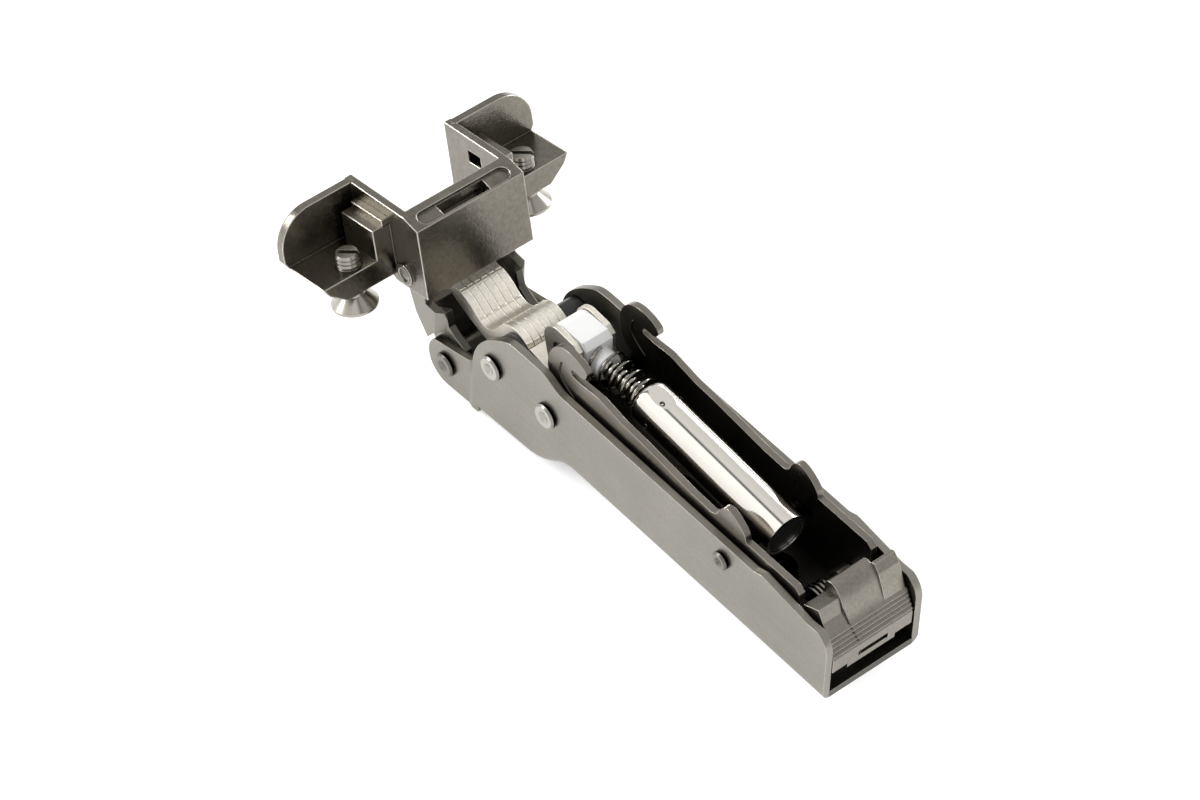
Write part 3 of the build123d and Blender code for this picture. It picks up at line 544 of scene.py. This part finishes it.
# %% [markdown]
# ## Pressed lines on the lever plates
# Each stamped plate carries low pressed ridges across its upper edge and one small dot on its
# hump. A ridge is a short rod sunk for most of its thickness into the plate's edge, with its
# two ends rounded, and it is repeated on the six plates, so that the gaps between them stay.

# %% Plate ridges and dots
plate_pitch = 1.35
plate_count = 6
ridge_reach = 1.0
# distance from the rear end, height, and rod radius of each line of ridges
ridge_lines = (
    (86.8, 8.42, 0.2), (86.0, 8.2, 0.2), (82.1, 6.16, 0.22), (76.7, 9.52, 0.2), (71.35, 9.72, 0.2),
)
ridge_rounding = 0.08
dot_place = (73.6, 10.5)
dot_radius = 0.3
shape = bmesh.new()
for plate in range(plate_count):
    width = (plate - (plate_count - 1) / 2) * plate_pitch
    for back, up_mm, radius in ridge_lines:
        turn = Matrix.Rotation(math.radians(90), 4, "X")
        rod = bmesh.ops.create_cone(
            shape, cap_ends=True, segments=12, radius1=radius * mm, radius2=radius * mm,
            depth=ridge_reach * mm, matrix=Matrix.Translation(place(back, up_mm, width)) @ turn,
        )
        rims = {edge for vert in rod["verts"] for edge in vert.link_edges if len(edge.link_faces) == 2}
        rims = [edge for edge in rims if any(len(face.verts) > 4 for face in edge.link_faces)]
        bmesh.ops.bevel(
            shape, geom=rims, offset=ridge_rounding * mm, segments=2, profile=0.5, affect="EDGES",
            material=-1,
        )
    bmesh.ops.create_uvsphere(
        shape, u_segments=12, v_segments=8, radius=dot_radius * mm,
        matrix=Matrix.Translation(place(*dot_place, width)),
    )
new_piece("plate_ridges", shape, "lever_stack", lever_nickel)

# %% [markdown]
# ## The curl under the outer lever's web
# The folded web of the outer lever curls down round the sleeve of the nose rivet. A strip of
# a tube wall does it: a short line from the inner to the outer radius is spun about the pivot,
# and the ring of faces is then pushed out across the lever.

# %% Web curl
curl_inner = 2.9
curl_outer = 3.7
curl_half = 6.05
curl_start = math.radians(8)
curl_turn = math.radians(95)
pivot = place(*nose_pivot)
shape = bmesh.new()
start = Vector((-math.cos(curl_start), 0, math.sin(curl_start)))
line_verts = [
    shape.verts.new(pivot + start * curl_inner * mm + Vector((0, -curl_half * mm, 0))),
    shape.verts.new(pivot + start * curl_outer * mm + Vector((0, -curl_half * mm, 0))),
]
line_edge = shape.edges.new(line_verts)
bmesh.ops.spin(
    shape, geom=[line_edge, *line_verts], cent=pivot, axis=(0, -1, 0), angle=curl_turn, steps=16,
    use_merge=False,
)
wall = bmesh.ops.extrude_face_region(shape, geom=shape.faces[:])
moved = [part for part in wall["geom"] if isinstance(part, bmesh.types.BMVert)]
bmesh.ops.translate(shape, verts=moved, vec=(0, 2 * curl_half * mm, 0))
# the curl lies within the lever's inner width, so its finish gives it the painted shade of inner faces
new_piece("web_curl", shape, "outer_lever", outer_lever_nickel, smooth=False)

# %% [markdown]
# ## Blends on the bracket's ribs
# In a casting nothing meets at a sharp corner. Along the top of each rib a rounded blend runs
# up to the side wall of the block. It starts as a small box, whose outer upper edge is
# bevelled until it is round.

# %% Rib blends
# along the bracket, up and across, each from low to high
blend_box = ((-14.4, -7.1), (22.9, 24.2), (9.9, 11.4))
blend_radius = 1.1
# a lowest height and a shortest length pick the outer upper edge out of a box's twelve
edge_floor = bracket_place(-11, 23.5).z - 0.9 * mm
edge_length = 3 * mm
same_place = 0.01
shape = bmesh.new()
for hand in (-1, 1):
    corner_low = [blend_box[axis][0] for axis in range(3)]
    corner_high = [blend_box[axis][1] for axis in range(3)]
    cube = bmesh.ops.create_cube(shape, size=1.0)
    for vert in cube["verts"]:
        share = [0.5 + vert.co.x, 0.5 + vert.co.z, 0.5 + vert.co.y]
        sizes = [low + (high - low) * part for low, high, part in zip(corner_low, corner_high, share)]
        vert.co = bracket_place(sizes[0], sizes[1], hand * sizes[2])
    outer_edge = [
        edge for edge in {e for v in cube["verts"] for e in v.link_edges}
        if all(abs(abs(v.co.y) / mm - corner_high[2]) < same_place for v in edge.verts)
        and all(v.co.z > edge_floor for v in edge.verts)
        and abs(edge.verts[0].co.x - edge.verts[1].co.x) > edge_length
    ]
    bmesh.ops.bevel(
        shape, geom=outer_edge, offset=blend_radius * mm, segments=6, profile=0.5, affect="EDGES",
        material=-1,
    )
new_piece("rib_blends", shape, "bracket", cast_nickel, smooth=False)

# %% [markdown]
# ## Pressed crescents on the hooks
# Each hook has a crescent pressed into both faces of its sheet. Four points give its line, a
# thin round section makes a bead of it, and the bead lies half in the sheet. The bead is painted
# near black, as painted shade of the pressed groove.

# %% Hook crescents
def bead(shape, points, radius):
    """Add a round bead along a smooth line of points to a bmesh."""
    line_data = bpy.data.curves.new("bead_line", "CURVE")
    line_data.dimensions = "3D"
    line_data.bevel_depth = radius * mm
    line_data.bevel_resolution = 2
    line_data.use_fill_caps = True
    spline = line_data.splines.new("NURBS")
    spline.points.add(len(points) - 1)
    for point, at in zip(spline.points, points):
        point.co = (*at, 1)
    spline.order_u = 3
    spline.use_endpoint_u = True
    line_object = bpy.data.objects.new("bead_line", line_data)
    shape.from_mesh(bpy.data.meshes.new_from_object(line_object))
    bpy.data.objects.remove(line_object)


crescent_points = ((59.7, 18.0), (60.4, 16.0), (58.9, 14.1), (56.8, 13.0))
crescent_radius = 0.2
# the two faces of the left hook's sheet, then of the right hook's
hook_faces = (-7.22, -6.18, 6.18, 7.22)
shape = bmesh.new()
for width in hook_faces:
    bead(shape, [place(back, up_mm, width) for back, up_mm in crescent_points], crescent_radius)
new_piece("hook_crescents", shape, "carrier", groove_shade)

# %% [markdown]
# ## Parting line of the rear catch
# Where two halves of the die met, the catch carries a thin line, here a bead painted near black
# as painted shade in its groove. It starts at the step between its left block and its crown, and
# leans to the right as it crosses the grip ridges.

# %% Parting line
parting_points = (
    (6.4, 14.2, -3.5), (3.9, 14.2, -3.5), (2.7, 12.6, -3.5), (1.75, 10.9, -3.3),
    (0.85, 9.2, -2.9), (0.2, 7.5, -2.4), (0.2, 5.2, -2.2),
)
parting_radius = 0.13
shape = bmesh.new()
bead(shape, [place(*point) for point in parting_points], parting_radius)
new_piece("parting_line", shape, "clip", groove_shade)

# %% [markdown]
# ## Punch marks on the damper tube
# Five small punches round the front of the tube hold its seal. Each one is a shallow ring of
# metal pushed up round a pit, here a low torus made by spinning a small circle.

# %% Punch marks
tube_front = place(49.4, 14.4)
tube_rear = place(18.8, 12.0)
tube_along = (tube_rear - tube_front).normalized()
tube_up = tube_along.cross(Vector((0, 1, 0))).normalized()
if tube_up.z < 0:
    tube_up = -tube_up
punch_ring = 0.34
punch_wire = 0.09
punch_count = 5
punch_first = -13.6
punch_distance = 4.1
tube_radius = 3.55
# the first punch sits in the tube's pressed dent, and the others on its plain round wall
dent_sink = 0.1
wall_sink = 0.02
shape = bmesh.new()
for mark in range(punch_count):
    angle = math.radians(punch_first + 360 / punch_count * mark)
    outward = tube_up * math.cos(angle) + Vector((0, 1, 0)) * math.sin(angle)
    ring_radius = tube_radius - (dent_sink if mark == 0 else wall_sink)
    centre = tube_front + tube_along * punch_distance * mm + outward * ring_radius * mm
    side_way = tube_along.cross(outward)
    ring_frame = Matrix((side_way, outward, tube_along)).transposed().to_4x4()
    circle = bmesh.ops.create_circle(
        shape, segments=8, radius=punch_wire * mm,
        matrix=Matrix.Translation(centre + side_way * punch_ring * mm) @ ring_frame,
    )
    loop = list({edge for vert in circle["verts"] for edge in vert.link_edges})
    bmesh.ops.spin(
        shape, geom=[*circle["verts"], *loop], cent=centre, axis=outward, angle=math.radians(360),
        steps=16, use_merge=True,
    )
bmesh.ops.remove_doubles(shape, verts=shape.verts, dist=0.001 * mm)
new_piece("punch_marks", shape, "damper", rivet_grey)

# %% [markdown]
# ## Outer spring on the pusher
# The damper's outer spring shortens as the bracket folds, which a solid can't do: it would run
# into the tube. A copy of the solid's mesh, with a mesh of its own, stands for it and rides on
# the pusher.

# %% Outer spring
spring_solid = frame["nodes"]["outer_spring"]
shape = bmesh.new()
shape.from_mesh(spring_solid.data)
shape.transform(spring_solid.matrix_world)
outer_spring = new_piece("outer_spring_coils", shape, "pusher", spring_wire)
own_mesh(outer_spring)
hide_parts("outer_spring")

# %% [markdown]
# ## Dressing the solids
# Each solid keeps its shape and gets its finish. The frame's record already says which finish
# each piece has, so a small table from finish to material is enough.

# %% Assign the finishes
finishes = {
    "arm_nickel": arm_nickel,
    "carrier_nickel": carrier_nickel,
    "cast_nickel": cast_nickel,
    "lever_nickel": lever_nickel,
    "rivet_bright": rivet_bright,
    "rivet_grey": rivet_grey,
    "tube_nickel": tube_nickel,
    "white_plastic": white_plastic,
    "black_plastic": black_plastic,
    "spring_wire": spring_wire,
}
own_finishes = {
    "frame_screws": screw_nickel,
    "inner_spring": spring_wire_lit,
    "outer_lever": outer_lever_nickel,
    "clip_lever": clip_cast_lit,
}
for row in frame["record"]["subparts"]:
    solid = frame["nodes"][row["node"]]
    solid.data.materials.clear()
    solid.data.materials.append(own_finishes.get(row["node"], finishes[row["material_slot"]]))
